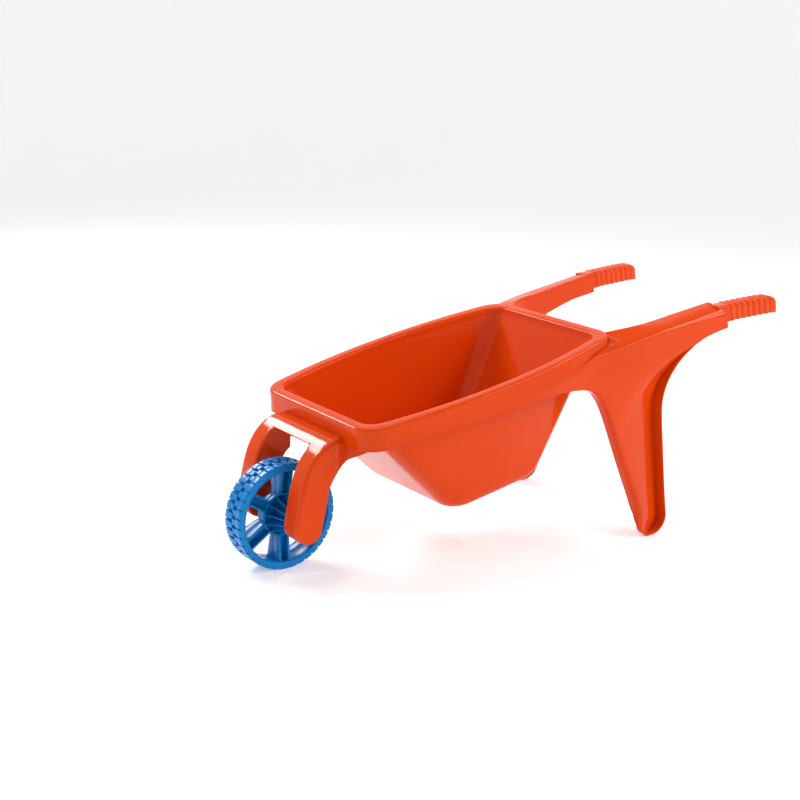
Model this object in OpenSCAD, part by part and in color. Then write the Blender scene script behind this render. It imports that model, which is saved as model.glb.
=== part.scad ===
// Child's moulded wheelbarrow, millimetres.
// The wheel points to -X, the handles to +X and the left side to -Y.
// The origin is on the floor, below the middle of the bounding box.
// Lengths along X are given from the wheel's axle, heights from the floor.

/* [Wheel] */
// Radius over the tread blocks
wheel_r = 65; // [60:0.5:70]
// Width over the tread
wheel_w = 35; // [30:1:40]
// Radial height of a tread block
block_h = 2.5; // [1.5:0.5:3.5]
// Tread blocks in one row
block_count = 36; // [24:2:44]
// Radial thickness of the rim under the blocks
rim_t = 6.5; // [4:0.5:9]
// Number of spokes
spoke_count = 6; // [5:1:8]
// Width of a spoke
spoke_w = 15; // [10:1:18]
// Radius of the hub's flange
hub_r = 26; // [22:1:30]
// Fins on one hub cone
fin_count = 12; // [8:1:16]
// Distance between the tips of the two hub cones
hub_w = 79; // [70:1:79]

/* [Axle] */
// Radius of the axle
axle_r = 4; // [3:0.5:5]
// Length of the axle
axle_l = 132; // [120:1:133]
// Radial running clearance of the wheel on the axle
axle_clear = 0.08; // [0.03:0.01:0.1]

/* [Tub] */
// Slope of the rim and the floor, in degrees
tub_tilt = 12.8; // [10:0.2:15]
// Length of the rim along its slope
rim_l = 380; // [360:1:400]
// Half width of the rim at its front and rear ends
rim_half_w = 114; // [108:1:118]
// How far the long sides bulge out at mid length
rim_bulge = 24; // [16:1:26]
// Depth of the skirt under the rim
skirt_d = 26; // [20:1:28]
// Depth of the hopper below the rim
tub_depth = 153; // [140:1:156]
// Wall thickness of the mouldings
wall = 2.6; // [2:0.1:3.2]

/* [Fork] */
// Half width over the fork's arms
fork_half_w = 70; // [68:1:74]
// Half width of the space between the arms
gap_half_w = 40; // [40:1:44]

/* [Handles and legs] */
// Height of the top of the grips
grip_top_z = 307; // [300:1:315]
// Distance from the axle to the end of the grips
grip_end_x = 675; // [660:1:690]
// Width of a handle bar
handle_w = 32; // [28:1:34]
// Width of a grip
grip_w = 25; // [22:1:27]
// Ribs on a grip
grip_ribs = 8; // [6:1:10]
// Depth of the leg's web behind its rear lip
leg_recess = 14; // [8:1:18]

/* [Hidden] */
fit_gap = 0.15;
origin_x = (wheel_r - grip_end_x) / 2;
rim_front = [38, 187];
rim_end_x = rim_front[0] + rim_l * cos(tub_tilt);
body_colour = [0.90, 0.24, 0.06];
wheel_colour = [0.02, 0.30, 0.68];

function lerp(a, b, t) = a + (b - a) * t;
function arc(c, r, a0, a1, n) = [for (i = [0:n]) c + r * [cos(lerp(a0, a1, i / n)), sin(lerp(a0, a1, i / n))]];
function smooth(t) = let (u = min(max(t, 0), 1)) u * u * (3 - 2 * u);
function reversed(p) = [for (i = [len(p) - 1:-1:0]) p[i]];

// ---- Outlines of the tub ----
// A level of the tub is [front u, rear u, half width, bulge, corner radius, depth w] in the rim's own
// sloping frame: u runs back along the rim, w goes down square to it.
corner_steps = 5;
side_steps = 10;
end_steps = 1;

function round_rect(a, b, r) = [for (c = [0:3]) let (
        sx = (c == 0 || c == 3) ? 1 : -1,
        sy = c < 2 ? 1 : -1,
        centre = [sx * (a - r), sy * (b - r)],
        next = [(c == 0 || c == 1) ? -(a - r) : (a - r), (c == 0 || c == 3) ? (b - r) : -(b - r)],
        from = centre + r * [cos(90 * c + 90), sin(90 * c + 90)],
        to = next + r * [cos(90 * c + 90), sin(90 * c + 90)],
        steps = (c % 2 == 0) ? side_steps : end_steps)
    each concat(
        [for (j = [0:corner_steps]) centre + r * [cos(90 * (c + j / corner_steps)), sin(90 * (c + j / corner_steps))]],
        [for (j = [1:steps - 1]) lerp(from, to, j / steps)])];

// Points of one level in the part's frame, from the sloping frame
function level(l) = let (half = (l[1] - l[0]) / 2, mid = (l[1] + l[0]) / 2)
    [for (p = round_rect(half, l[2], l[4])) let (
        u = p[0] + mid,
        v = p[1] * (1 + (l[3] / l[2]) * (1 - pow(p[0] / half, 2))))
    [rim_front[0] + u * cos(tub_tilt) + l[5] * sin(tub_tilt), v, rim_front[1] + u * sin(tub_tilt) - l[5] * cos(tub_tilt)]];

function rim_level(inset, w) = [inset, rim_l - inset, rim_half_w - inset, rim_bulge, max(26 - inset * 0.6, 8), w];
mouth = rim_level(16, 6);
floor_level = [122, 258, 88, 1, 22, tub_depth];
function wall_level(t, out) = let (l = [for (k = [0:5]) lerp(mouth[k], floor_level[k], t)])
    [l[0] - out, l[1] + out, l[2] + out, l[3], l[4] + out, l[5] + out * 0.5];
function floor_ring(inset, w, out) = [floor_level[0] + inset - out, floor_level[1] - inset + out,
    floor_level[2] - inset + out, floor_level[3], floor_level[4] - inset * 0.5, w];

// A closed solid through a list of rings with an even number of points. The two end rings are capped
// by strips between their two halves.
module loft(rings) {
    n = len(rings[0]);
    m = len(rings);
    points = [for (r = rings) each r];
    last = (m - 1) * n;
    sides = [for (i = [0:m - 2], j = [0:n - 1]) let (a = i * n + j, b = i * n + (j + 1) % n)
        each [[a, b, b + n], [a, b + n, a + n]]];
    first_cap = [for (j = [0:n / 2 - 2]) each [[j + 1, j, n - 2 - j], [j, n - 1 - j, n - 2 - j]]];
    last_cap = [for (f = first_cap) [f[1] + last, f[0] + last, f[2] + last]];
    polyhedron(points, concat(sides, first_cap, last_cap), convexity = 8);
}

// A closed band whose section runs through the rings and back to the first
module band(rings) {
    n = len(rings[0]);
    m = len(rings);
    polyhedron([for (r = rings) each r],
        [for (i = [0:m - 1], j = [0:n - 1]) let (a = i * n + j, b = i * n + (j + 1) % n, c = ((i + 1) % m) * n - i * n)
            each [[a, b, b + c], [a, b + c, a + c]]], convexity = 8);
}

// The rolled rim: inner edge, flat top, outer shoulder, skirt, and back under
module tub_rim() {
    color(body_colour) band([
        level(wall_level(0, 0)), level(rim_level(15.4, 2)), level(rim_level(13, 0)), level(rim_level(3, 0)),
        level(rim_level(0.8, 1.2)), level(rim_level(0, 4)), level(rim_level(-2, skirt_d)),
        level(rim_level(-2 + wall, skirt_d)), level(rim_level(wall, 4.5)), level(rim_level(4, wall)),
        level(rim_level(11, wall)), level(wall_level(0, wall))
    ]);
}

// The hopper is one sheet: inside floor, inside wall, the joint with the rim, and the outside down to the floor
module tub_hopper() {
    top = fit_gap / (floor_level[5] - mouth[5]);
    color(body_colour) loft([
        level(floor_ring(10, tub_depth, 0)), level(floor_ring(3, tub_depth - 2.5, 0)),
        level(wall_level(0.93, 0)), level(wall_level(0.5, 0)), level(wall_level(top, 0)),
        level(wall_level(top, wall)), level(wall_level(0.5, wall)), level(wall_level(0.93, wall)),
        level(floor_ring(3, tub_depth + wall - 1.5, wall)), level(floor_ring(10, tub_depth + wall, wall))
    ]);
}

// Everything that the neighbours of the tub keep clear of
module tub_envelope() {
    loft([level(rim_level(-fit_gap, -30)), level(rim_level(-fit_gap, 5)), level(rim_level(-2 - fit_gap, skirt_d + fit_gap))]);
    loft([level(wall_level(0, wall + fit_gap)), level(wall_level(1, wall + fit_gap))]);
}

// ---- Fork ----
module across(y0, y1) {
    translate([0, y1, 0]) rotate([90, 0, 0]) linear_extrude(y1 - y0) children();
}

arm_c = [46, 102];
arm_r = 67;
arm_foot = [-3, 65];
arm_foot_r = 17;
function arm_front(inset) = concat(
    [[70, arm_c[1] + arm_r - inset]],
    arc(arm_c, arm_r - inset, 92, 178, 16),
    arc(arm_foot, arm_foot_r - inset, 184, 270, 6));
arm_rear = concat(
    arc(arm_foot, arm_foot_r, 280, 355, 5),
    arc([62, 98], 42, 184, 96, 8));
module arm_side() polygon(concat(arm_front(0), arm_rear, [[70, 141]]));
module arm_pocket() polygon(concat(arm_front(wall), [[arm_foot[0] + 30, arm_foot[1] - arm_foot_r + wall], [120, 80], [120, 165]]));
module window_cut() polygon([[-60, 30], [60, 30], [60, 130], [26, 152], [12, 160], [-60, 175]]);
// The front of the tub in side view: everything that the fork keeps clear of
function rim_xz(u, w) = rim_front + [u * cos(tub_tilt) + w * sin(tub_tilt), u * sin(tub_tilt) - w * cos(tub_tilt)];
module tub_front_side() {
    skirt_w = skirt_d + fit_gap;
    skirt_u = -2 - fit_gap;
    wall_slope = (floor_level[0] - mouth[0]) / (tub_depth - mouth[5]);
    wall_u = mouth[0] - wall - fit_gap - (mouth[5] + wall / 2) * wall_slope;
    polygon([rim_xz(skirt_u, -40), rim_xz(skirt_u, skirt_w), rim_xz(wall_u + skirt_w * wall_slope, skirt_w),
        rim_xz(wall_u + tub_depth * wall_slope, tub_depth), rim_xz(200, tub_depth), rim_xz(200, -40)]);
}
module gusset() polygon([[50, 139], [60, 139], [92, 146], [92, 175], [40, 171]]);

module fork_solid() {
    boss_r = axle_r + 4;
    difference() {
        union() {
            difference() {
                across(-fork_half_w, fork_half_w) union() {
                    arm_side();
                    gusset();
                }
                across(-fork_half_w + wall, fork_half_w - wall) arm_pocket();
                across(-gap_half_w, gap_half_w) window_cut();
            }
            for (s = [-1, 1]) {
                inner = s > 0 ? gap_half_w : -gap_half_w - wall;
                across(inner, inner + wall) difference() {
                    arm_side();
                    polygon([[34, 60], [120, 60], [120, 200], [34, 200]]);
                }
                translate([0, s * (fork_half_w - wall + gap_half_w) / 2, wheel_r]) rotate([90, 0, 0])
                    cylinder(r = boss_r, h = fork_half_w - wall - gap_half_w, center = true, $fn = 48);
            }
        }
        translate([0, 0, wheel_r]) rotate([90, 0, 0]) cylinder(r = axle_r, h = axle_l + 0.4, center = true, $fn = 48);
        across(-fork_half_w - 1, fork_half_w + 1) tub_front_side();
    }
}

// The fork is cut into its bridge and its two arms at the sides of the wheel's gap
module fork_section(y0, y1) color(body_colour) intersection() {
    fork_solid();
    across(y0, y1) polygon([[-60, 0], [140, 0], [140, 220], [-60, 220]]);
}
module left_fork_arm() fork_section(-fork_half_w, -gap_half_w);
module right_fork_arm() fork_section(gap_half_w, fork_half_w);
module fork_bridge() color(body_colour) across(-gap_half_w, gap_half_w) difference() {
    polygon(concat(arc(arm_c, arm_r, 92, 150, 12), arc(arm_c, arm_r - wall, 150, 92, 12)));
    window_cut();
    tub_front_side();
}

// ---- Sides: plan lines and outlines ----
function handle_mid_y(x) = 117 + (x - 407) * 0.058;
function rim_side_y(x) = let (s = (x - rim_front[0]) / (rim_end_x - rim_front[0]))
    rim_half_w + 2 + rim_bulge * 4 * s * (1 - s);
function side_y(x) = let (a = x < 400 ? rim_side_y(x) : 0, b = handle_mid_y(x) + handle_w / 2, k = 6)
    max(a, b) + pow(max(k - abs(a - b), 0), 2) / (4 * k);

apron_front_x = 205;
handle_front_x = 346;
step_x = 572;
step_lean = 0.55;
leg_top_z = 207;

function bar_top_z(x) = let (t = (x - 405) / 171) 272.8 - 5 * t + 61 * t * t - 29 * t * t * t;
underside = [[480, 184], [483, 197], [490, 212], [505, 232], [522, 246], [539, 257], [562, 267], [586, 273]];
leg_front = [[352, 207], [368, 203], [383, 187], [393, 171], [405, 145], [428, 95], [451, 49], [460, 25]];
foot_c = [483, 24];
foot_r = 24;
leg_rear = [[480, 184], [485, 150], [502, 46], [507, 24]];

// Outer wall of a handle, seen from the side
function skirt_low_z(x) = rim_front[1] + (x - rim_front[0]) * tan(tub_tilt) - (skirt_d + 0.6) / cos(tub_tilt);
module bar_side() polygon(concat(
    [for (x = [handle_front_x - 0.5:-28:apron_front_x]) [x, skirt_low_z(x)]],
    [[apron_front_x, 196.5], [250, 203], [300, leg_top_z + 0.3], [484, leg_top_z + 0.3]],
    [for (p = underside) if (p[1] > leg_top_z + 1) p],
    [[step_x, bar_top_z(step_x) - 9]],
    [for (i = [8:-1:0]) let (x = lerp(400, step_x - 6, i / 8)) [x, bar_top_z(x) - 9]],
    [[handle_front_x, 232]]));

module leg_side() polygon(concat(
    [[484, leg_top_z], [480, 184]], leg_rear, arc(foot_c, foot_r, 0, -170, 12), reversed(leg_front)));
module lip_side() polygon(concat(
    [[487.2, leg_top_z], [480, 184]], leg_rear, arc(foot_c, foot_r, 0, -165, 12),
    arc(foot_c, foot_r - wall, -165, 0, 12), [[504.4, 24], [499.4, 46], [482.4, 150], [477.4, 184], [482, leg_top_z]]));
module flange_side() polygon(concat(
    leg_front, [[463, 26], [453.9, 50], [430.9, 96], [407.9, 146], [396, 172.5], [386, 189], [369.5, 205.8], [367, 207], [352, 207]]));

// A wall that follows the side line, or sinks behind it towards the rear by a depth
module side_band(x0, x1, deep) {
    n = 24;
    xs = [for (i = [0:n]) lerp(x0, x1, i / n)];
    linear_extrude(330) polygon(concat(
        [for (x = xs) [x, side_y(x) - deep * smooth((x - 395) / 70)]],
        [for (x = reversed(xs)) [x, side_y(x) - wall - deep * smooth((x - 395) / 70)]]));
}

// One cross-section of a handle bar or grip: an inverted U with rounded top edges
function bar_ring(x, lean, y, half, top, low) = let (r = half * 0.45, t = wall)
    [for (p = concat(
        [[half, low]],
        [for (a = [0:22.5:180]) [(half - r) * sign(cos(a)) * min(1, abs(cos(a)) * 4) + r * cos(a), top - r + r * sin(a)]],
        [[-half, low], [-half + t, low]],
        [for (a = [180:-22.5:0]) [(half - r) * sign(cos(a)) * min(1, abs(cos(a)) * 4) + (r - t) * cos(a), top - r + (r - t) * sin(a)]],
        [[half - t, low]]))
    [x - lean * (p[1] - top), y - p[0], p[1]]];

module handle_bar() {
    n = 10;
    loft([for (i = [0:n]) let (
        x = lerp(385, step_x, i / n),
        t = i / n,
        low = lerp(bar_top_z(x) - 52, bar_top_z(x) - 29, smooth(t * 1.1)))
        bar_ring(x, step_lean * t * t, handle_mid_y(x), handle_w / 2, bar_top_z(x), low)]);
}

module left_handle() color(body_colour) mirror([0, 1, 0]) right_handle_solid();
module right_handle() color(body_colour) right_handle_solid();
module right_handle_solid() {
    difference() {
        union() {
            intersection() {
                across(60, 200) bar_side();
                side_band(apron_front_x, 600, 0);
            }
            handle_bar();
        }
        tub_envelope();
    }
}

grip_rise = 8;
grip_skin = 0.9;
grip_start_top = grip_top_z - grip_rise - grip_skin;
// The grip starts on the handle's slanted end face, a gap behind it
grip_start_x = step_x + fit_gap + step_lean * (bar_top_z(step_x) - grip_start_top);
module right_grip_solid() {
    n = grip_ribs * 4 + 4;
    loft([for (i = [0:n]) let (
        t = i / n,
        top = lerp(grip_top_z - grip_rise, grip_top_z, smooth(t * 1.2)),
        wave = t > 0.08 && t < 0.93 ? 0.9 * (0.5 - 0.5 * cos(360 * grip_ribs * (t - 0.08) / 0.85)) : 0,
        tip = t > 0.93 ? 5 * pow((t - 0.93) / 0.07, 2) : 0,
        flare = 1.5 * smooth((t - 0.9) / 0.1))
        bar_ring(lerp(grip_start_x, grip_end_x - 4, t), lerp(step_lean, 0.17, smooth(t * 2.5)), handle_mid_y(lerp(step_x, grip_end_x, t)),
            grip_w / 2 - 0.8 + wave + flare * 0.3, top - grip_skin + wave - tip, top - 22.5 - flare)]);
}
module left_grip() color(body_colour) mirror([0, 1, 0]) right_grip_solid();
module right_grip() color(body_colour) right_grip_solid();

module right_leg_solid() {
    difference() {
        union() {
            intersection() {
                across(60, 200) leg_side();
                side_band(350, 515, leg_recess);
            }
            across(side_y(480) - leg_recess, side_y(480) - 0.5) lip_side();
            across(side_y(400) - 17, side_y(400) - wall) flange_side();
        }
        tub_envelope();
    }
}
module left_leg() color(body_colour) mirror([0, 1, 0]) right_leg_solid();
module right_leg() color(body_colour) right_leg_solid();

// ---- Wheel and axle ----
module axle() {
    color("silver") translate([0, 0, wheel_r]) rotate([90, 0, 0])
        cylinder(r = axle_r, h = axle_l, center = true, $fn = 48);
}

// The wheel is two mirrored halves that meet on its middle plane. Each is drawn with that plane at
// z = 0 and its cone towards +z, in three sections: rim, spokes and cone.
half_w = wheel_w / 2;
rim_outer_r = wheel_r - block_h;
rim_inner_r = rim_outer_r - rim_t;
flange_t = 6;
block_pitch = 2 * PI * wheel_r / block_count;

module half_rim(turn) {
    difference() {
        union() {
            cylinder(r = rim_outer_r, h = half_w, $fn = 96);
            intersection() {
                for (i = [0:block_count - 1]) rotate(360 / block_count * (i + turn))
                    translate([rim_outer_r - 1, -0.15 * block_pitch, 1])
                        cube([block_h + 2, 0.65 * block_pitch, half_w - 2.5]);
                cylinder(r = wheel_r, h = half_w, $fn = 144);
            }
        }
        translate([0, 0, -1]) cylinder(r = rim_inner_r, h = half_w + 2, $fn = 96);
    }
}

// Six channel-section spokes on the hub's flange
module half_spokes() {
    rib_t = 2.6;
    web_t = 3;
    difference() {
        union() {
            intersection() {
                for (i = [0:spoke_count - 1]) rotate(360 / spoke_count * (i + 0.5)) {
                    translate([0, -spoke_w / 2, 0]) cube([wheel_r, spoke_w, web_t]);
                    for (y = [-spoke_w / 2, spoke_w / 2 - rib_t]) translate([hub_r - 3, y, 0])
                        cube([wheel_r, rib_t, half_w - 3]);
                }
                cylinder(r = rim_inner_r - 0.02, h = half_w, $fn = 96);
            }
            cylinder(r = hub_r, h = flange_t, $fn = 72);
        }
        translate([0, 0, -1]) cylinder(r = axle_r + axle_clear, h = half_w, $fn = 48);
    }
}

// The hub's cone with its radial fins, standing on the flange
module half_cone() {
    cone_z = hub_w / 2;
    fin_t = 1.8;
    difference() {
        union() {
            translate([0, 0, flange_t]) cylinder(r1 = hub_r - 7, r2 = axle_r + 4, h = cone_z - flange_t, $fn = 72);
            for (i = [0:fin_count - 1]) rotate(360 / fin_count * i) rotate([90, 0, 0])
                translate([0, 0, -fin_t / 2]) linear_extrude(fin_t)
                    polygon([[axle_r + 1.5, flange_t + 0.5], [hub_r - 2.5, flange_t + 0.5],
                        [axle_r + 6.5, cone_z - 1.5], [axle_r + 1.5, cone_z - 1.5]]);
        }
        cylinder(r = axle_r + axle_clear, h = cone_z + 1, $fn = 48);
    }
}

// The two halves, on the wheel's axis. The right one's tread blocks are turned by half a pitch.
module on_left() color(wheel_colour) translate([0, 0, wheel_r]) rotate([90, 0, 0]) children();
module on_right() color(wheel_colour) translate([0, 0, wheel_r]) rotate([-90, 0, 0]) children();
module wheel_rim_left() on_left() half_rim(0);
module wheel_rim_right() on_right() half_rim(0.5);
module wheel_spokes_left() on_left() half_spokes();
module wheel_spokes_right() on_right() half_spokes();
module wheel_cone_left() on_left() half_cone();
module wheel_cone_right() on_right() half_cone();

translate([origin_x, 0, 0]) {
    tub_hopper();
    tub_rim();
    fork_bridge();
    left_fork_arm();
    right_fork_arm();
    left_handle();
    right_handle();
    left_grip();
    right_grip();
    left_leg();
    right_leg();
    axle();
    wheel_rim_left();
    wheel_rim_right();
    wheel_spokes_left();
    wheel_spokes_right();
    wheel_cone_left();
    wheel_cone_right();
}
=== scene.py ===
"""Looks of a child's moulded wheelbarrow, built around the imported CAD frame.

Shapes are worked out in millimetres in the barrow's own layout: x runs back from the wheel's axle,
y to the right and z up from the floor. to_frame() turns them into metres in the CAD frame.
"""
import math

import bmesh
import bpy
import numpy as np
from mathutils import Matrix, Vector


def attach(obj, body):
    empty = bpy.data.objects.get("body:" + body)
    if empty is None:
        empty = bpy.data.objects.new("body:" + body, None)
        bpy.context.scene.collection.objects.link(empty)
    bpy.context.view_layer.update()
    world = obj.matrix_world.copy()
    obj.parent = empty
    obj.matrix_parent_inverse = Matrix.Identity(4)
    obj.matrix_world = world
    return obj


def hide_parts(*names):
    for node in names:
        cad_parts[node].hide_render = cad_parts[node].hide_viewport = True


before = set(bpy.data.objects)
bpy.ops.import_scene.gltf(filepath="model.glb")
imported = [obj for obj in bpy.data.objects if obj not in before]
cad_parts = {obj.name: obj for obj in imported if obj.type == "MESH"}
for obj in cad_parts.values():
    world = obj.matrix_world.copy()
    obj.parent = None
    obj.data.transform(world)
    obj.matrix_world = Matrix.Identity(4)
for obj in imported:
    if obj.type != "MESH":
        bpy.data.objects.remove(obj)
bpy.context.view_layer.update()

AXLE_X, AXLE_Z = -305.0, 65.0  # the axle: x in the CAD frame, height above the floor
TILT = math.radians(12.8)  # the tub's slope, front end low
CT, ST = math.cos(TILT), math.sin(TILT)
# the rim: its front end's x and z, its length, its half width at the ends and how far its sides bow out
RIM_X, RIM_Z, RIM_L, RIM_HALF, BULGE = 38.0, 187.0, 380.0, 114.0, 24.0
HANDLE_HALF = 16.0
MERGE = 0.02  # points closer than this become one
SMOOTH_DEG = 38  # edges sharper than this are shaded as edges


# ---- Small tools ----
def to_frame(points):
    """Millimetres in the barrow's layout to metres in the CAD frame."""
    p = np.asarray(points, float)
    return (p + np.array([AXLE_X, 0.0, 0.0])) / 1000.0


def smooth(t):
    """Runs from 0 to 1 with level ends."""
    t = np.clip(t, 0.0, 1.0)
    return t * t * (3.0 - 2.0 * t)


def sin_cos(degrees):
    """Sine and cosine of an angle in degrees."""
    return math.sin(math.radians(degrees)), math.cos(math.radians(degrees))


def curve(x, xs, ys):
    """A smooth curve through the points (xs, ys), level with its end values outside them."""
    xs, ys = np.asarray(xs, float), np.asarray(ys, float)
    d = np.gradient(ys, xs)
    x = np.clip(np.asarray(x, float), xs[0], xs[-1])
    k = np.clip(np.searchsorted(xs, x) - 1, 0, len(xs) - 2)
    h = xs[k + 1] - xs[k]
    t = (x - xs[k]) / h
    return ((2 * t**3 - 3 * t**2 + 1) * ys[k] + (t**3 - 2 * t**2 + t) * h * d[k]
            + (3 * t**2 - 2 * t**3) * ys[k + 1] + (t**3 - t**2) * h * d[k + 1])


def chaikin(points, times=3):
    """Rounds the corners of an open polyline and keeps its ends."""
    p = np.asarray(points, float)
    for _ in range(times):
        q = 0.75 * p[:-1] + 0.25 * p[1:]
        r = 0.25 * p[:-1] + 0.75 * p[1:]
        mid = np.empty((2 * len(q), p.shape[1]))
        mid[0::2], mid[1::2] = q, r
        p = np.vstack([p[:1], mid[1:-1], p[-1:]])
    return p


def resample(points, n):
    """n points at equal steps along a polyline."""
    p = np.asarray(points, float)
    s = np.concatenate([[0.0], np.cumsum(np.linalg.norm(np.diff(p, axis=0), axis=1))])
    at = np.linspace(0.0, s[-1], n)
    return np.stack([np.interp(at, s, p[:, k]) for k in range(p.shape[1])], axis=1)


def arc(cx, cz, r, a0, a1, n):
    """n points on a circle's arc, from a0 to a1 degrees."""
    a = np.radians(np.linspace(a0, a1, n))
    return np.stack([cx + r * np.cos(a), cz + r * np.sin(a)], axis=1)


def in_normals(path, turn=1.0):
    """Unit normals of a 2-D path, on its left for turn = 1."""
    t = np.gradient(np.asarray(path, float), axis=0)
    t /= np.maximum(np.linalg.norm(t, axis=1, keepdims=True), 1e-9)
    return turn * np.stack([-t[:, 1], t[:, 0]], axis=1)


class Mesh:
    """Gathers points and faces of one piece."""

    def __init__(self):
        self.v, self.f = [], []

    def points(self, pts):
        """Adds points and gives the number of the first one."""
        start = sum(len(p) for p in self.v)
        self.v.append(np.asarray(pts, float))
        return start

    def grid(self, rows, close_u=False, close_v=False, flip=False):
        """rows[i][j] is a point; close_u joins the last row to the first, close_v each row's ends."""
        rows = np.asarray(rows, float)
        m, n = rows.shape[:2]
        s = self.points(rows.reshape(-1, 3))
        for i in range(m if close_u else m - 1):
            for j in range(n if close_v else n - 1):
                a, b = s + i * n + j, s + i * n + (j + 1) % n
                c, d = s + ((i + 1) % m) * n + (j + 1) % n, s + ((i + 1) % m) * n + j
                self.f.append((d, c, b, a) if flip else (a, b, c, d))
        return s

    def tube(self, rings):
        """A closed solid through closed rings, with both ends capped."""
        rings = np.asarray(rings, float)
        m, n = rings.shape[:2]
        s = self.grid(rings, close_v=True)
        self.f.append(tuple(s + j for j in reversed(range(n))))
        self.f.append(tuple(s + (m - 1) * n + j for j in range(n)))

    def mirrored(self):
        """The same piece for the other side."""
        o = Mesh()
        o.v = [p * np.array([1.0, -1.0, 1.0]) for p in self.v]
        o.f = [tuple(reversed(f)) for f in self.f]
        return o


def build(name, mesh, material, body, replaces=(), thick=0.0, bevel=0.0, bevel_deg=50):
    """Makes the object: mm points, optional sheet thickness, and small bevels on the sharp edges."""
    merge = MERGE / 1000.0
    me = bpy.data.meshes.new(name)
    me.from_pydata([tuple(p) for p in to_frame(np.vstack(mesh.v))], [], mesh.f)
    me.validate()
    ob = bpy.data.objects.new(name, me)
    bpy.context.scene.collection.objects.link(ob)
    bm = bmesh.new()
    bm.from_mesh(me)
    bmesh.ops.remove_doubles(bm, verts=bm.verts, dist=merge)
    bmesh.ops.dissolve_degenerate(bm, edges=bm.edges, dist=merge / 2)
    if not thick:
        bmesh.ops.recalc_face_normals(bm, faces=bm.faces)
    bm.to_mesh(me)
    bm.free()
    for p in me.polygons:
        p.use_smooth = True
    me.materials.append(material)
    if thick:
        mod = ob.modifiers.new("wall", "SOLIDIFY")
        mod.thickness = thick / 1000.0
        mod.offset = -1.0
        mod.use_rim = True
    if bevel:
        mod = ob.modifiers.new("edges", "BEVEL")
        mod.width = bevel / 1000.0
        mod.segments = 2
        mod.limit_method = "ANGLE"
        mod.angle_limit = math.radians(bevel_deg)
    if thick or bevel:
        bpy.context.view_layer.update()
        ev = ob.evaluated_get(bpy.context.evaluated_depsgraph_get())
        new = bpy.data.meshes.new_from_object(ev)
        ob.modifiers.clear()
        ob.data = new
        new.materials.clear()
        new.materials.append(material)
    for v in ob.data.vertices:
        v.co.z = max(v.co.z, 0.0)  # nothing below the floor
    ob.data.set_sharp_from_angle(angle=math.radians(SMOOTH_DEG))
    for n in replaces:
        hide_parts(n)
    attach(ob, body)
    return ob


# ---- Materials ----
def new_material(name):
    """A node material: itself, its node tree, its shader and its texture coordinates."""
    m = bpy.data.materials.new(name)
    m.use_nodes = True
    nt = m.node_tree
    return m, nt, nt.nodes["Principled BSDF"], nt.nodes.new("ShaderNodeTexCoord")


def noise(nt, co, scale, detail):
    """Noise that stays fixed on the object."""
    n = nt.nodes.new("ShaderNodeTexNoise")
    n.inputs["Scale"].default_value = scale
    n.inputs["Detail"].default_value = detail
    n.inputs["Roughness"].default_value = 0.55
    nt.links.new(co.outputs["Object"], n.inputs["Vector"])
    return n.outputs["Fac"]


def spread(nt, source, low, high):
    """Stretches the middle of a noise's range to run from low to high."""
    m = nt.nodes.new("ShaderNodeMapRange")
    m.inputs["From Min"].default_value = 0.3
    m.inputs["From Max"].default_value = 0.7
    m.inputs["To Min"].default_value = low
    m.inputs["To Max"].default_value = high
    nt.links.new(source, m.inputs["Value"])
    return m.outputs["Result"]


def two_tone(nt, factor, shader, first, second):
    """Base colour that wanders between two colours."""
    mix = nt.nodes.new("ShaderNodeMix")
    mix.data_type = "RGBA"
    mix.inputs["A"].default_value = (*first, 1.0)
    mix.inputs["B"].default_value = (*second, 1.0)
    nt.links.new(factor, mix.inputs["Factor"])
    nt.links.new(mix.outputs["Result"], shader.inputs["Base Color"])


def bump(nt, height, strength, distance):
    """A bump node; distance is in metres."""
    b = nt.nodes.new("ShaderNodeBump")
    b.inputs["Strength"].default_value = strength
    b.inputs["Distance"].default_value = distance
    nt.links.new(height, b.inputs["Height"])
    return b


def plastic(name, base, dark, rough, rough_var, grain, level):
    """Moulded plastic: cloudy pigment, uneven gloss, fine mould grain and a slow waviness."""
    m, nt, b, co = new_material(name)
    two_tone(nt, spread(nt, noise(nt, co, 9.0, 2.0), 0.0, 1.0), b, base, dark)
    wear = noise(nt, co, 60.0, 5.0)
    nt.links.new(spread(nt, wear, rough - rough_var, rough + rough_var), b.inputs["Roughness"])
    fine = bump(nt, noise(nt, co, 1100.0, 2.0), 0.35, grain)
    slow = bump(nt, noise(nt, co, 26.0, 1.0), 0.25, 0.0006)
    nt.links.new(fine.outputs["Normal"], slow.inputs["Normal"])
    nt.links.new(slow.outputs["Normal"], b.inputs["Normal"])
    b.inputs["IOR"].default_value = 1.49
    b.inputs["Specular IOR Level"].default_value = level
    return m


def steel(name):
    """Drawn steel: brushed tone and uneven gloss."""
    m, nt, b, co = new_material(name)
    tone = noise(nt, co, 300.0, 4.0)
    two_tone(nt, tone, b, (0.62, 0.62, 0.63), (0.48, 0.48, 0.50))
    nt.links.new(spread(nt, tone, 0.25, 0.42), b.inputs["Roughness"])
    b.inputs["Metallic"].default_value = 1.0
    return m


BODY = plastic("body_plastic", (0.66, 0.053, 0.002), (0.62, 0.047, 0.002), 0.10, 0.02, 0.00002, level=0.14)
WHEEL = plastic("wheel_plastic", (0.0, 0.20, 0.54), (0.0, 0.17, 0.47), 0.24, 0.05, 0.00003, level=0.22)
STEEL = steel("axle_steel")


# ---- Tub: rolled rim, skirt and hopper as one sheet ----
# Along the rim's plane u runs back from its front end, v to the right, and w down and square to it.
SIDE, CORNER, END = 60, 12, 16  # steps along a side, round a corner and along an end
SKIRT_DRAFT, SKIRT_FALL = 2.0, 22.0  # the skirt flares this far out over this depth
SHOULDER = 4.0  # depth of the rim's outer shoulder
FLOOR_START = 0.91  # part of the way down the hopper's wall where it rounds into the floor


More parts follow.
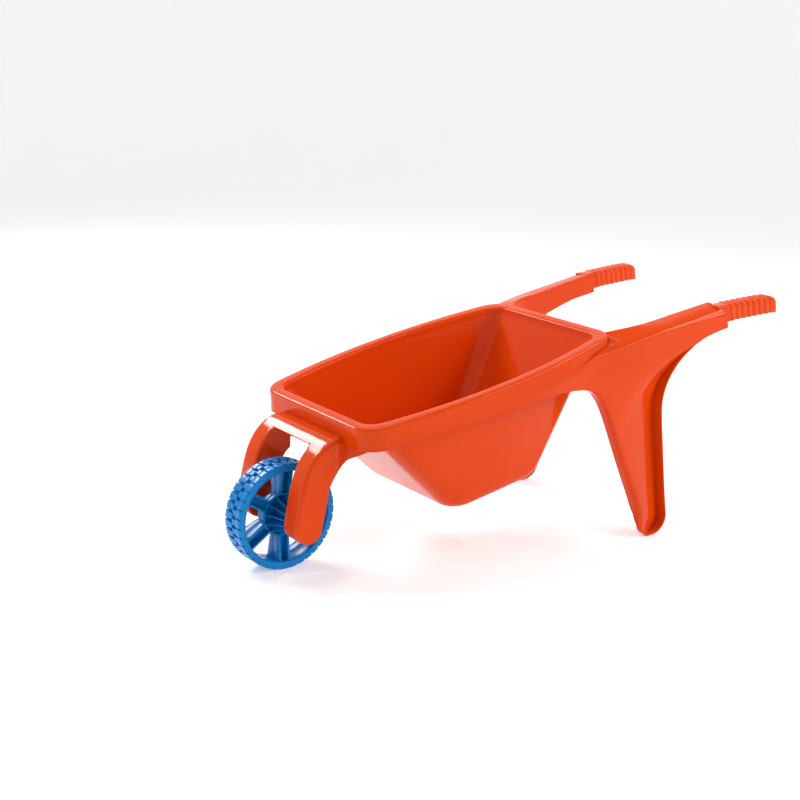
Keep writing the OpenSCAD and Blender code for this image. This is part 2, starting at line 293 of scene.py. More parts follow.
def round_rect(a, b, r):
    """A closed rectangle of half sizes a and b, with corners of radius r."""
    pts = []
    for c in range(4):
        sx = 1 if c in (0, 3) else -1
        sy = 1 if c < 2 else -1
        centre = np.array([sx * (a - r), sy * (b - r)])
        ang = np.radians(90 * c + np.linspace(0, 90, CORNER + 1))
        pts.append(centre + r * np.stack([np.cos(ang), np.sin(ang)], axis=1))
        n = SIDE if c % 2 == 0 else END
        sn, cs = sin_cos(90 * c + 90)
        out = np.array([cs, sn])
        nxt = np.array([-(a - r) if c in (0, 1) else (a - r), (b - r) if c in (0, 3) else -(b - r)])
        t = (np.arange(1, n) / n)[:, None]
        pts.append((centre + r * out) * (1 - t) + (nxt + r * out) * t)
    return np.vstack(pts)


def level(l):
    """One level of the tub: [front u, rear u, half width, bulge, corner radius, depth w]."""
    front, rear, width, bulge, radius, w = l
    half, mid = (rear - front) / 2, (rear + front) / 2
    p = round_rect(half, width, radius)
    u = p[:, 0] + mid
    v = p[:, 1] * (1 + (bulge / width) * (1 - (p[:, 0] / half) ** 2))
    return np.stack([RIM_X + u * CT + w * ST, v, RIM_Z + u * ST - w * CT], axis=1)


def rim_level(inset, w):
    """A level of the rim, inset from its outer line."""
    return np.array([inset, RIM_L - inset, RIM_HALF - inset, BULGE, max(26 - 0.6 * inset, 8), w], float)


MOUTH = rim_level(16, 6)
FLOOR = np.array([122, 258, 88, 1, 22, 153], float)


def wall(t):
    """The hopper's wall, from the mouth at 0 to the floor at 1."""
    return MOUTH * (1 - t) + FLOOR * t


def skirt_flare(w):
    """The skirt's inset at depth w: negative, so it flares outward."""
    return -SKIRT_DRAFT * np.clip((w - SHOULDER) / SKIRT_FALL, 0, 1)


def skirt_depth(x):
    """How deep the skirt is below the rim, square to it: deepest where it runs into the handles."""
    return curve(x, [60, 110, 144, 214, 250, 294, 318, 332, 350, 372, 388],
                 [26.4, 26.5, 27.2, 29.3, 32.3, 37.2, 39.6, 39.0, 34.0, 28.0, 26.4])


def make_tub():
    """Skirt, rim, hopper walls and floor, from the outside in."""
    mesh = Mesh()
    rows = []
    # skirt, from its lower edge up to the shoulder; it turns out a little at that edge
    base, wide, outer = (level(rim_level(i, 0.0)) for i in (-2.0, -2.6, 0.0))
    deep = skirt_depth(base[:, 0])
    for q in np.linspace(0, 1, 12):
        w = deep + (SHOULDER - deep) * q
        draft = skirt_flare(w) - 0.5 * smooth(1 - (deep - w) / 2.5)
        k = (-draft / 2.6)[:, None]
        p = outer * (1 - k) + wide * k
        p[:, 0] += w * ST
        p[:, 2] -= w * CT
        rows.append(p)
    # outer shoulder, crown and inner edge
    for a in np.linspace(12, 90, 7):
        s, c = sin_cos(a)
        rows.append(level(rim_level(3.0 - 3.0 * c, 3.0 - 3.0 * s)))
    for i in np.linspace(4.5, 11.0, 4):
        rows.append(level(rim_level(i, -0.25 * math.sin(math.pi * (i - 3.0) / 9.5))))
    for a in np.linspace(90, 20, 7):
        s, c = sin_cos(a)
        rows.append(level(rim_level(12.2 + 3.8 * c, 3.8 - 3.8 * s)))
    # hopper walls
    for t in np.linspace(0.0, FLOOR_START, 26):
        rows.append(level(wall(t)))
    # the rounding into the floor, wider at the rear
    start, corner = wall(FLOOR_START), wall(1.0)
    end = FLOOR + np.array([8, -19, -9, 0, -3, 0], float)
    for s in np.linspace(0, 1, 10)[1:]:
        rows.append(level((1 - s) ** 2 * start + 2 * s * (1 - s) * corner + s * s * end))
    # the floor, in shrinking outlines
    half = (end[1] - end[0]) / 2
    for s in (0.35, 0.7, 0.92):
        lv = end.copy()
        lv[0] += s * half
        lv[1] -= s * half
        lv[2] *= 1 - s
        lv[3] = 0
        lv[4] = max(end[4] * (1 - s), 0.3)
        rows.append(level(lv))
    rows = np.array(rows)
    m, n = rows.shape[:2]
    s = mesh.grid(rows, close_v=True)
    mesh.f.append(tuple(s + (m - 1) * n + j for j in range(n)))
    return mesh


# ---- Sides: handle and leg, for the right side; the left one is its mirror ----
# Handle and leg meet along a straight seam that slopes up towards the rear.
SEAM_X0, SEAM_Z0, SEAM_X1, SEAM_Z1 = 330.0, 209.4, 539.0, 257.0
SEAM_RUN, SEAM_RISE = SEAM_X1 - SEAM_X0, SEAM_Z1 - SEAM_Z0
END_X = 573.0  # where the handle ends and the grip takes over
RIM_CORNER_X = 411.0  # behind this the handle stands clear of the rim
FOOT_X, FOOT_Z, FOOT_R = 483.0, 24.0, 24.0
LEG_RECESS = 14.5  # how far the leg's web lies inside its outer face
LEG_ROWS = 110
EMBED = 0.35  # pieces that overlap sink this far into each other


def handle_mid(x):
    """The handle's middle line in plan."""
    return 117.0 + (x - 407.0) * 0.058


def skirt_y(x, z):
    """The skirt's outer face beside the tub."""
    x, z = np.asarray(x, float), np.asarray(z, float)
    u = (x - RIM_X) * CT + (z - RIM_Z) * ST
    i = skirt_flare((x - RIM_X) * ST - (z - RIM_Z) * CT)
    p = (u - RIM_L / 2) / (RIM_L / 2 - i)
    return (RIM_HALF - i) + BULGE * (1 - p * p)


def side_y(x, z):
    """The side's outer face: the skirt's and the handle's, joined by a soft blend."""
    a = skirt_y(x, z)
    b = handle_mid(np.asarray(x, float)) + HANDLE_HALF
    k = 6.0
    return np.maximum(a, b) + np.maximum(k - np.abs(a - b), 0) ** 2 / (4 * k)


RING_OUT = level(rim_level(0.0, 14.0))
RING_OUT = RING_OUT[(RING_OUT[:, 1] > 20) & (RING_OUT[:, 0] > 200)]
RING_OUT = RING_OUT[np.argsort(RING_OUT[:, 0])]


def ring_y(x):
    """The rim's outer line in plan, round its rear corner."""
    return np.interp(x, RING_OUT[:, 0], RING_OUT[:, 1], right=0.0)


def ridge_z(x):
    """Height of the outer edge of the handle's rounded shoulder."""
    return curve(x, [300, 326, 345, 356, 382, 410, 458, 503, 540, 578],
                 [222, 232, 240.0, 245.0, 251.5, 258.2, 270.0, 277.8, 283.8, 289.6])


def top_z(x):
    """Height of the handle's top where the shoulder ends."""
    return curve(x, [300, 326, 345, 356, 371, 384, 402, 437, 473, 520, 578],
                 [221.5, 231.5, 239.8, 246.0, 252.4, 255.6, 260.0, 269.0, 277.4, 286.6, 298.4])


def inner_z(x):
    """Height of the handle's inner top edge. It climbs quickly behind the rim's rear corner."""
    return curve(x, [300, 326, 345, 356, 371, 388, 400, 412, 426, 442, 471, 520, 578],
                 [221, 231, 239.5, 245.8, 252.2, 255.6, 259.5, 265.6, 271.0, 274.4, 278.8, 288.5, 300.0])


def under_z(x):
    """Lower edge of the side: skirt, then the sloping seam with the leg, then the bar's underside."""
    x = np.asarray(x, float)
    front = curve(x, [294, 310, SEAM_X0], [206.6, 208.0, SEAM_Z0])
    seam = SEAM_Z0 + (x - SEAM_X0) * SEAM_RISE / SEAM_RUN
    bar = curve(x, [SEAM_X1, 550, 562, 574, 590], [SEAM_Z1, 262.3, 267, 270.6, 273.6])
    return np.where(x < SEAM_X0, front, np.where(x < SEAM_X1, seam, bar))


def inner_y(x):
    """The handle's inner face, flared where it meets the back of the tub."""
    f = 24.0 * (1 - np.sqrt(np.clip(1 - (np.clip(452.0 - x, 0, 39.0) / 40.0) ** 2, 0, 1)))
    return handle_mid(x) - HANDLE_HALF - f


# sections along the seam, closer together round the rim's corner
SEAM_X = np.concatenate([np.linspace(SEAM_X0, SEAM_X1, 58), np.linspace(398, 418, 15)])
SEAM_X = np.unique(np.round(SEAM_X, 5))
# the end closes in three steps: (x offset, inset)
END_STEPS = ((0.35, 0.5), (0.7, 4.0), (-3.0, 4.2))


def handle_section(x, inset=None):
    """One section of the side's upper part, from the lower edge over the top to the inner edge."""
    embed = EMBED * (1 - smooth((x - 314.0) / 18.0))
    zr, zm, zi = float(ridge_z(x)), float(top_z(x)), float(inner_z(x))
    zb = float(under_z(x)) + embed
    yo = float(side_y(x, zr)) - embed
    at_rim = float(ring_y(x)) - 1.3
    yi = float(inner_y(x))
    if x < 400:
        yi = at_rim
    elif x < RIM_CORNER_X:
        yi = max(yi, at_rim)
    zlow = float(curve(x, [RIM_CORNER_X, 416, 450, 491, 530, 574], [250, 226, 236, 249, 262, 273.5]))
    zlow = min(zlow, zi - 7.0)
    if inset:
        yo, yi = yo - inset, yi + inset
        zr, zm, zi = zr - inset * 0.45, zm - inset * 0.55, zi - inset * 0.55
        zb, zlow = zb + inset * 1.6, zlow + inset * 1.6
    width = yo - yi
    a, b, c = min(4.0, 0.25 * width), min(12.0, 0.5 * width), min(5.0, 0.2 * width)
    r = min(4.0, 0.6 * width)
    top = chaikin([(yo, zr - r), (yo, zr), (yo - a, zr + 0.62 * (zm - zr)), (yo - b, zm),
                   (yi + c, zi), (yi, zi), (yi, zi - 5.0)], 3)
    zs = zb + (zr - r - zb) * np.linspace(0, 1, 18)[:-1]
    ys = np.full_like(zs, yo) if inset else side_y(np.full_like(zs, x), zs) - embed
    outer = np.stack([ys, zs], axis=1)
    zs = np.linspace(zi - 5.0, zlow, 7)[1:]
    inner = np.stack([np.full_like(zs, yi), zs], axis=1)
    sec = np.vstack([outer, top, inner])
    lean = 0.4 * smooth((x - 540.0) / (END_X - 540.0))
    xs = x + lean * np.maximum(zm - sec[:, 1], 0.0)
    return np.stack([xs, sec[:, 0], sec[:, 1]], axis=1)


# the leg's edges in side view, (x, z) from the seam down to the foot
FRONT = np.vstack([
    [[SEAM_X0, SEAM_Z0], [338, 208.9], [346, 208.0], [354, 206.6], [361, 204.6], [368, 201.0],
     [376, 194.5], [383, 186.5], [393, 169.5], [405, 144.5], [416, 121], [428, 95.5], [440, 71.5],
     [451, 49.5], [458, 33]],
    arc(FOOT_X, FOOT_Z, FOOT_R, 172, 266, 12)])
REAR = np.vstack([
    [[SEAM_X1, SEAM_Z1], [530, 251.5], [522, 246], [513, 239.2], [505, 231.8], [497, 222.5],
     [490, 211.5], [484.5, 198.5], [481.2, 184], [481.8, 168], [484.6, 150], [491, 112], [497, 76],
     [502.5, 46], [505.8, 30]],
    arc(FOOT_X, FOOT_Z, FOOT_R, 4, -86, 12)])


def leg_edges():
    """Matched points along the leg's front and rear edges, from the seam down to the foot."""
    return resample(chaikin(FRONT, 2), LEG_ROWS), resample(chaikin(REAR, 2), LEG_ROWS)


def leg_depth(t):
    """How far the web lies inside the outer face at the leg's rear edge, by the way down the leg."""
    return LEG_RECESS * smooth((t - 0.015) / 0.27)


def web_y(x, z, t, q):
    """The web's outer face; q runs from the leg's front edge to its rear edge."""
    power = 1.15 + 5.0 * (1 - smooth(t / 0.36))
    return side_y(x, z) - leg_depth(t) * np.power(q, power)


def make_side():
    """Handle, skirt extension and leg as one sheet."""
    mesh = Mesh()
    f, r = leg_edges()
    t = np.linspace(0, 1, LEG_ROWS)
    nf, nr = in_normals(f), in_normals(r, -1.0)
    slope = math.atan2(SEAM_RISE, SEAM_RUN)
    q = (SEAM_X - SEAM_X0) / SEAM_RUN
    xs = np.concatenate([np.linspace(312, SEAM_X0, 10)[:-1], SEAM_X, np.linspace(SEAM_X1, END_X, 18)[1:]])
    sections = [handle_section(x) for x in xs]
    for dx, inset in END_STEPS:
        s = handle_section(END_X, inset)
        s[:, 0] += dx
        sections.append(s)
    mesh.grid(sections)
    # leg: flange, soft corner and web
    rows = []
    for k in range(LEG_ROWS):
        flange = 15.0 * smooth((t[k] - 0.02) / 0.13) * (1 - smooth((t[k] - 0.80) / 0.16))
        room = (f[k, 0] - SEAM_X0) * math.sin(slope) - (f[k, 1] - SEAM_Z0) * math.cos(slope)
        rad = min(3.6, flange * 0.6, 0.3 * max(room, 0.0))
        inset = 1.3 * smooth(t[k] / 0.06)
        inset_f = max(1.6 * rad, inset * smooth((t[k] - 0.9) / 0.1))
        y0 = float(side_y(f[k, 0], f[k, 1]))
        row = []
        for d in np.linspace(1, 0, 5)[:-1]:
            row.append((f[k, 0], y0 - rad - (flange - rad) * d, f[k, 1]))
        for angle in np.linspace(0, 75, 6):
            s, c = sin_cos(angle)
            p = f[k] + nf[k] * rad * (1 - c)
            row.append((p[0], y0 - rad * (1 - s), p[1]))
        a, b = f[k] + nf[k] * inset_f, r[k] + nr[k] * inset
        for j in range(len(q)):
            p = a * (1 - q[j]) + b * q[j]
            row.append((p[0], float(web_y(p[0], p[1], t[k], q[j])), p[1]))
        rows.append(row)
    mesh.grid(rows)
    return mesh


# the lip's run under the handle, before it reaches the leg's rear edge
LIP_LEAD = [[566, 268.3], [560, 266.2], [553, 263.5], [546, 260.4]]
LIP_END = 22  # rows up the front edge, past the foot, where the lip fades out
# the lip's section: (out from the edge, below the side's outer face)
LIP_PROFILE = ((0, 0.9), (0.3, 0.25), (0.9, 0), (1.7, 0), (2.3, 0.25), (2.6, 0.9))


def make_lip():
    """The outward lip along the leg's rear edge and round the foot."""
    mesh = Mesh()
    f, r = leg_edges()
    t = np.linspace(0, 1, LEG_ROWS)
    lead = len(LIP_LEAD)
    path = np.vstack([LIP_LEAD, r[1:-1], f[:-1][::-1][:LIP_END]])
    fade = [LEG_RECESS * 0.5 * (1 - smooth(i / 20.0)) for i in range(LIP_END)]
    depth = np.concatenate([np.zeros(lead), leg_depth(t)[1:-1], fade])
    # round the foot the web's depth falls off towards the front
    foot = np.clip((path[:, 0] - 459.0) / 48.0, 0, 1)
    low = smooth((34.0 - path[:, 1]) / 14.0)
    depth = np.where(np.arange(len(path)) >= lead,
                     depth * (1 - low) + LEG_RECESS * np.power(foot, 1.15) * low, 0.0)
    path = resample(np.column_stack([path, depth]), 190)
    depth, path = path[:, 2], path[:, :2]
    for _ in range(2):
        path[1:-1] = (path[:-2] + 2 * path[1:-1] + path[2:]) / 4
    n = in_normals(path, -1.0)
    rings = []
    for k in range(len(path)):
        hide = EMBED * (1 - smooth(depth[k] / 1.2))
        yo = float(side_y(path[k, 0], path[k, 1])) - hide
        yb = yo + hide - depth[k] - 2.3 - 3.0 * float(smooth((40.0 - path[k, 1]) / 20.0))
        profile = [(0, yb)] + [(d, yo - drop) for d, drop in LIP_PROFILE] + [(LIP_PROFILE[-1][0], yb)]
        ring = []
        for d, y in profile:
            p = path[k] + n[k] * (d + hide)
            ring.append((p[0], y, p[1]))
        rings.append(ring)
    mesh.tube(rings)
    return mesh


# ---- Grips ----
GRIP_X0, GRIP_X1, GRIP_HALF = END_X - 6.0, 669.6, 11.4
RIB_X, RIB_PITCH, RIB_HEIGHT = 590.5, 10.05, 1.1  # a rib's crest, the step to the next and its height


def make_grip():
    """The ribbed cover over the handle's end, open underneath."""
    mesh = Mesh()
    sections = []
    for x in np.linspace(GRIP_X0, GRIP_X1, 190):
        top = curve(x, [566, 590, 620, 650, 672], [297.6, 299.4, 302.0, 304.6, 305.4])
        rib = abs(math.cos(math.pi * (x - RIB_X) / RIB_PITCH)) ** 1.4 if 584 < x < 664 else 0.0
        rib *= float(smooth((x - 583.0) / 4.0) * smooth((666.0 - x) / 4.0))
        wave = RIB_HEIGHT * rib
        tip = smooth((x - 664.5) / 6.5)
        flare = smooth((x - 661.0) / 8.0)
        half = GRIP_HALF + wave - 0.5 * tip + 0.3 * flare
        topz = top + wave - 3.0 * tip ** 2
        low = curve(x, [566, 590, 620, 668], [273.6, 278.6, 281.6, 285.4]) - 0.5 * rib - 1.2 * flare
        mid = float(handle_mid(x))
        right = [(half, low), (half, topz - 10), (half, topz - 2.6),
                 (half - 2.6, topz), (half - 10, topz + 0.3)]
        p = chaikin(right + [(-y, z) for y, z in reversed(right)], 3)
        lean = 0.42 - 0.24 * float(smooth((x - 566.0) / 30.0))
        xs = x + lean * (topz - p[:, 1])
        sections.append(np.stack([xs, mid + p[:, 0], p[:, 1]], axis=1))
    # the end rounds off in two steps: (x offset, width factor, drop of the top)
    last = sections[-1]
    mid = float(handle_mid(GRIP_X1))
    for dx, k, dz in ((0.5, 0.93, 0.7), (0.7, 0.84, 1.8)):
        s = last.copy()
        s[:, 0] += dx
        s[:, 1] = mid + (s[:, 1] - mid) * k
        s[:, 2] = s[:, 2] - dz * smooth((s[:, 2] - 290.0) / 12.0)
        sections.append(s)
    mesh.grid(sections)
    # web that closes the end of the grip
    s = sections[-1]
    rows = []
    for j in range(len(s) // 2):
        a, b = s[j], s[len(s) - 1 - j]
        rows.append([a * (1 - q) + b * q for q in np.linspace(0, 1, 9)])
    mesh.grid(rows, flip=True)
    return mesh


# ---- Fork ----
FORK_HALF, ARM_INNER = 70.0, 40.0  # outer and inner face of an arm, from the middle plane
EYE_X, EYE_R = -3.0, 17.0  # the arm's round end about the axle
WINDOW_X = 12.3  # the opening over the wheel starts here
FORK_ROWS = 130


def fork_edges():
    """The fork's front and rear edges in side view, (x, z) from the tub down to the arm's end."""
    bend = chaikin([[47, 169.4], [40, 169.4], [30, 167.6], [20, 164], [12, 158.8], [4, 151],
                    [-3, 141], [-8.5, 129], [-12.5, 115], [-15.5, 100], [-18, 85], [-19.8, 72]], 2)
    front = np.vstack([bend, arc(EYE_X, AXLE_Z, EYE_R, 184, 268, 16)])
    rear = np.vstack([[[76, 158], [86, 147], [78, 143.2]], arc(62, 98, 42, 94, 182, 36),
                      arc(EYE_X, AXLE_Z, EYE_R, 352, 274, 14)])
    return front, rear


def fork_y(x, z):
    """The arm's outer face, drawn in under the tub."""
    return float(FORK_HALF - 12.0 * smooth((x - 24.0) / 36.0) * smooth((z - 105.0) / 25.0))


def fork_side(f, r, into, sign):
    """Points from the rear edge r of the outer wall to the front edge f and round its corner.

    Also gives the half width at which the front flange starts.
    """
    rad = min(5.0, 0.45 * np.linalg.norm(r - f))
    pts = []
    for q in np.linspace(1, 0, 14):
        a = f + into * rad
        p = a * (1 - q) + r * q
        pts.append((p[0], sign * fork_y(p[0], p[1]), p[1]))
    y0 = fork_y(f[0], f[1])
    for angle in np.linspace(15, 90, 6):
        sn, c = sin_cos(angle)
        p = f + into * rad * (1 - sn)
        pts.append((p[0], sign * (y0 - rad * (1 - c)), p[1]))
    return pts, y0 - rad


def make_fork():
    """The bridge over the wheel and the two arms, as one sheet."""
    mesh = Mesh()
    front, rear = fork_edges()
    f, r = resample(front, FORK_ROWS), resample(rear, FORK_ROWS)
    nf = in_normals(f)
    win = int(np.argmax(f[:, 0] < WINDOW_X))
    flange = np.linspace(0, 1, 7)[1:]
    # full-width rows of the bridge
    rows = []
    for k in range(win + 1):
        left, yl = fork_side(f[k], r[k], nf[k], -1.0)
        right, yr = fork_side(f[k], r[k], nf[k], 1.0)
        row = list(left)
        row += [(f[k, 0], -(yl + (ARM_INNER - yl) * q), f[k, 1]) for q in flange]
        row += [(f[k, 0], y, f[k, 1]) for y in np.linspace(-ARM_INNER, ARM_INNER, 13)[1:-1]]
        row += [(f[k, 0], yr + (ARM_INNER - yr) * q, f[k, 1]) for q in flange[::-1]]
        row += list(right[::-1])
        rows.append(row)
    mesh.grid(rows)
    # arms: outer wall, flange, corner and inner wall
    for sign in (-1.0, 1.0):
        rows = []
        for k in range(win, FORK_ROWS):
            row, yl = fork_side(f[k], r[k], nf[k], sign)
            grow = smooth((k - win) / 6.0)
            rad = min(3.2, 0.4 * np.linalg.norm(r[k] - f[k])) * grow
            row += [(f[k, 0], sign * (yl + (ARM_INNER + rad - yl) * q), f[k, 1]) for q in flange]
            for angle in np.linspace(15, 90, 5):
                sn, c = sin_cos(angle)
                p = f[k] + nf[k] * rad * (1 - c)
                row.append((p[0], sign * (ARM_INNER + rad * (1 - sn)), p[1]))
            a = f[k] + nf[k] * rad
            # the inner wall stops at x = 36 where the outer one runs on under the tub
            reach = 1.0
            if r[k, 0] > 36:
                reach = min(1.0, max(0.05, (36.0 - a[0]) / max(r[k, 0] - a[0], 1e-6)))
            for q in np.linspace(0, 1, 9)[1:]:
                p = a + (r[k] - a) * q * reach * (grow * 0.98 + 0.02)
                row.append((p[0], sign * ARM_INNER, p[1]))
            rows.append(row)
        mesh.grid(rows, flip=sign > 0)
    return mesh


def make_bosses():
    """The two sockets that hold the axle."""
    mesh = Mesh()
    angles = np.linspace(0, 2 * math.pi, 49)[:-1]
    for sign in (-1, 1):
        mesh.tube([[(8.0 * math.cos(a), sign * y, AXLE_Z + 8.0 * math.sin(a)) for a in angles]
                   for y in (41.0, 68.2)])
    return mesh


# ---- Wheel, one half at a time; s is its side, and y below is the distance from the middle plane ----
TREAD_R, TYRE_HALF, BLOCKS = 65.0, 17.3, 36
TYRE_R = 62.4  # under the tread blocks
TYRE_PROFILE = ((TYRE_R, 0.0), (TYRE_R, 16.6), (61.8, TYRE_HALF),
                (56.8, TYRE_HALF), (56.0, 16.6), (55.6, 0.0))
TREAD_ROWS = ((0.5, 8.0, 0.58), (7.0, 16.9, 0.84))  # (from y, to y, part of the pitch)
SPOKES, FINS, FIN_START = 6, 12, 0.13
RIM_INSIDE = 55.9  # where the spokes end
RING_PROFILE = ((26.6, 0.0), (26.6, 6.0), (26.0, 6.6), (24.6, 6.6), (24.0, 6.0), (23.6, 0.0))
DISC_PROFILE = ((24.2, 0.1), (24.2, 2.0), (4.1, 2.0), (4.1, 0.1))
CONE_PROFILE = ((10.5, 1.9), (7.2, 39.0), (7.0, 39.5), (4.1, 39.5), (4.1, 1.9))
FIN_PROFILE = ((6.0, 1.9), (24.2, 1.9), (24.2, 6.4), (10.6, 37.6), (9.6, 38.4), (6.0, 38.4))


def polar(rho, a, y):
    """A point at radius rho and angle a about the axle."""
    return (rho * math.sin(a), y, AXLE_Z + rho * math.cos(a))


def lathe(mesh, profile, s, n):
    """A closed ring swept about the axle in n steps. profile is a closed loop of (radius, y)."""
    rows = [[polar(rho, a, s * y) for rho, y in profile] for a in np.linspace(0, 2 * math.pi, n + 1)[:-1]]
    mesh.grid(rows, close_u=True, close_v=True)


def radial(a, s):
    """The wheel's centre, and the unit steps outward at angle a, round the rim and along the axle."""
    return (np.array([0, 0, AXLE_Z]), np.array([math.sin(a), 0, math.cos(a)]),
            np.array([math.cos(a), 0, -math.sin(a)]), np.array([0, float(s), 0]))


def make_rim(s, turn):
    """Half of the rim with two rows of tread blocks; turn is in block pitches."""
    mesh = Mesh()
    lathe(mesh, TYRE_PROFILE, s, 144)
    pitch = 2 * math.pi / BLOCKS
    root = TYRE_R - 0.6
    for i in range(BLOCKS):
        c = (i + turn) * pitch
        for y0, y1, w in TREAD_ROWS:
            block = ((root, y0), (TREAD_R - 0.7, y0), (TREAD_R, y0 + 0.5),
                     (TREAD_R, y1 - 1.2), (TREAD_R - 1.1, y1), (root, y1))
            mesh.tube([[polar(rho, c + q * w * pitch, s * y) for rho, y in block]
                       for q in np.linspace(-0.5, 0.5, 5)])
    return mesh


def make_spokes(s):
    """Half of each spoke, a flat bar with two raised ribs, and the hub's ring and disc."""
    mesh = Mesh()
    for i in range(SPOKES):
        o, d, t, y = radial(2 * math.pi * i / SPOKES, s)

        def bar(r0, t0, t1, y0, y_in, y_out):
            """A bar from radius r0 to the rim, y_in high at the hub and y_out high at the rim."""
            mesh.tube([[o + d * r + t * t0 + y * y0, o + d * r + t * t1 + y * y0,
                        o + d * r + t * t1 + y * high, o + d * r + t * t0 + y * high]
                       for r, high in ((r0, y_in), (RIM_INSIDE, y_out))])

        bar(22, -7.4, 7.4, 0.02, 3.2, 3.2)
        for e in (-7.5, 4.9):
            bar(25, e, e + 2.6, 0.05, 9.5, 14.6)
    lathe(mesh, RING_PROFILE, s, 96)
    lathe(mesh, DISC_PROFILE, s, 96)
    return mesh


def make_cone(s):
    """Half of the hub: a slim cone with thin fins that taper outward."""
    mesh = Mesh()
    lathe(mesh, CONE_PROFILE, s, 72)
    for i in range(FINS):
        o, d, t, axial = radial(2 * math.pi * i / FINS + FIN_START, s)
        mesh.tube([[o + d * p + axial * y + t * w for p, y in FIN_PROFILE] for w in (-0.85, 0.85)])
    return mesh


# ---- Putting the pieces together ----
build("tub", make_tub(), BODY, "barrow", ("tub_hopper", "tub_rim"), thick=2.4, bevel=0.7)
side, lip, grip = make_side(), make_lip(), make_grip()
right_parts = (side, lip, grip)
for tag, parts in (("right", right_parts), ("left", [part.mirrored() for part in right_parts])):
    build(f"{tag}_side", parts[0], BODY, "barrow", (f"{tag}_handle", f"{tag}_leg"),
          thick=2.3, bevel=0.5)
    build(f"{tag}_leg_lip", parts[1], BODY, "barrow")
    build(f"{tag}_grip_cover", parts[2], BODY, "barrow", (f"{tag}_grip",),
          thick=2.0, bevel=0.4)
build("fork", make_fork(), BODY, "barrow", ("fork_bridge", "left_fork_arm", "right_fork_arm"),
      thick=2.3, bevel=0.5)
build("fork_bosses", make_bosses(), BODY, "barrow", bevel=0.4)
for tag, s, turn in (("left", -1, 0.0), ("right", 1, 0.5)):
    for piece, mesh, node, bevel in (("tyre", make_rim(s, turn), "rim", 0.35),
                                     ("spokes", make_spokes(s), "spokes", 0.5),
                                     ("hub", make_cone(s), "cone", 0.3)):
        build(f"{tag}_{piece}", mesh, WHEEL, "wheel", (f"wheel_{node}_{tag}",),
              bevel=bevel, bevel_deg=40)
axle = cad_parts["axle"]
axle.data.materials.clear()
axle.data.materials.append(STEEL)


# ---- Floor, light and camera, in metres ----
FLOOR_Z = -0.0006  # just under the feet and the wheel
BACKDROP_R, BACKDROP_CURVE, BACKDROP_TOP = 4.0, 2.0, 5.0


def floor_material():
    """Matt, nearly white, with a faint glow so that it stays pale away from the lights."""
    m, nt, b, co = new_material("floor")
    two_tone(nt, noise(nt, co, 4.0, 2.0), b, (0.90, 0.90, 0.90), (0.89, 0.89, 0.89))
    b.inputs["Roughness"].default_value = 0.9
    b.inputs["Specular IOR Level"].default_value = 0.1
    b.inputs["Emission Color"].default_value = (1.0, 1.0, 1.0, 1.0)
    b.inputs["Emission Strength"].default_value = 0.30
    return m


def make_stage():
    """A round floor that curves up into a backdrop on every side."""
    line = [(0.4, 0.0), (BACKDROP_R, 0.0)]
    for a in np.radians(np.linspace(3, 90, 24)):
        line.append((BACKDROP_R + BACKDROP_CURVE * math.sin(a), BACKDROP_CURVE * (1 - math.cos(a))))
    line.append((BACKDROP_R + BACKDROP_CURVE, BACKDROP_TOP))
    n = 96
    angles = np.linspace(0, 2 * math.pi, n + 1)[:-1]
    verts = [(0.0, 0.0, FLOOR_Z)]
    for d, z in line:
        verts += [(d * math.cos(a), d * math.sin(a), z + FLOOR_Z) for a in angles]
    faces = [(0, 1 + j, 1 + (j + 1) % n) for j in range(n)]
    for i in range(len(line) - 1):
        for j in range(n):
            a, b = 1 + i * n + j, 1 + i * n + (j + 1) % n
            faces.append((a, a + n, b + n, b))
    me = bpy.data.meshes.new("floor")
    me.from_pydata(verts, [], faces)
    for p in me.polygons:
        p.use_smooth = True
    ob = bpy.data.objects.new("floor", me)
    bpy.context.scene.collection.objects.link(ob)
    me.materials.append(floor_material())
    return ob


make_stage()

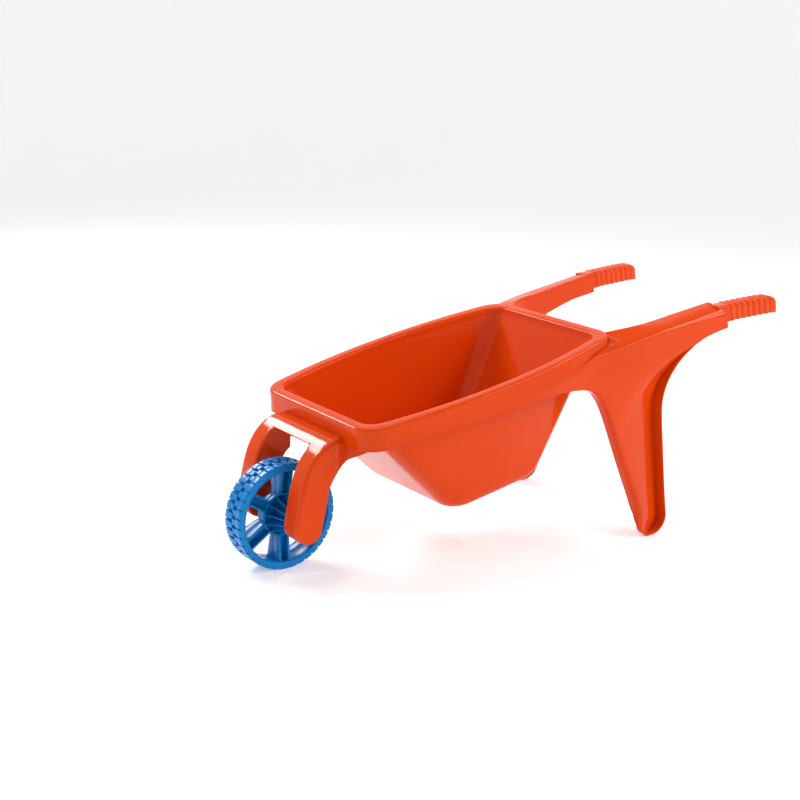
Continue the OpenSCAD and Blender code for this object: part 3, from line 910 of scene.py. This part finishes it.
world = bpy.data.worlds.new("studio")
bpy.context.scene.world = world
world.use_nodes = True
bg = world.node_tree.nodes["Background"]
bg.inputs["Color"].default_value = (1.0, 1.0, 1.0, 1.0)
bg.inputs["Strength"].default_value = 0.27


def softbox(name, place, aim, size_x, size_y, power):
    """A rectangular light at place, facing aim."""
    d = bpy.data.lights.new(name, "AREA")
    d.shape = "RECTANGLE"
    d.size, d.size_y = size_x, size_y
    d.energy = power
    o = bpy.data.objects.new(name, d)
    bpy.context.scene.collection.objects.link(o)
    o.location = place
    o.rotation_euler = (Vector(aim) - Vector(place)).to_track_quat("-Z", "Y").to_euler()
    return o


softbox("key_box", (1.3, -1.9, 1.7), (0, 0, 0.1), 1.1, 0.8, 27)
softbox("top_box", (-0.2, 0.5, 2.1), (0, 0, 0.1), 1.2, 0.4, 11)
softbox("glint_box", (-0.55, 1.65, 1.35), (0, 0, 0.15), 1.2, 0.35, 30)
softbox("side_strip", (1.25, -0.5, 1.8), (0, 0, 0.15), 0.9, 0.12, 9)

# the camera stands to the barrow's front left, a little above it, aims at AIM and is slightly rolled
AZ, EL, ROLL = math.radians(-36.29), math.radians(14.39), math.radians(2.97)
AIM, DISTANCE, LENS, SENSOR = Vector((-0.1384, 0.0, 0.1844)), 1.7883, 65.73, 36.0
cam_data = bpy.data.cameras.new("camera")
cam = bpy.data.objects.new("camera", cam_data)
bpy.context.scene.collection.objects.link(cam)
back = Vector((math.sin(AZ) * math.cos(EL), -math.cos(AZ) * math.cos(EL), math.sin(EL)))
right = Vector((math.cos(AZ), math.sin(AZ), 0))
up = back.cross(right)
rolled_right = right * math.cos(ROLL) + up * math.sin(ROLL)
rolled_up = up * math.cos(ROLL) - right * math.sin(ROLL)
columns = (rolled_right, rolled_up, back, AIM + back * DISTANCE)
cam.matrix_world = Matrix([[c[row] for c in columns] for row in range(3)] + [[0, 0, 0, 1]])
cam_data.sensor_width = SENSOR
cam_data.lens = LENS
cam_data.clip_end = 100.0
bpy.context.scene.camera = cam
bpy.context.scene.view_settings.view_transform = "Standard"

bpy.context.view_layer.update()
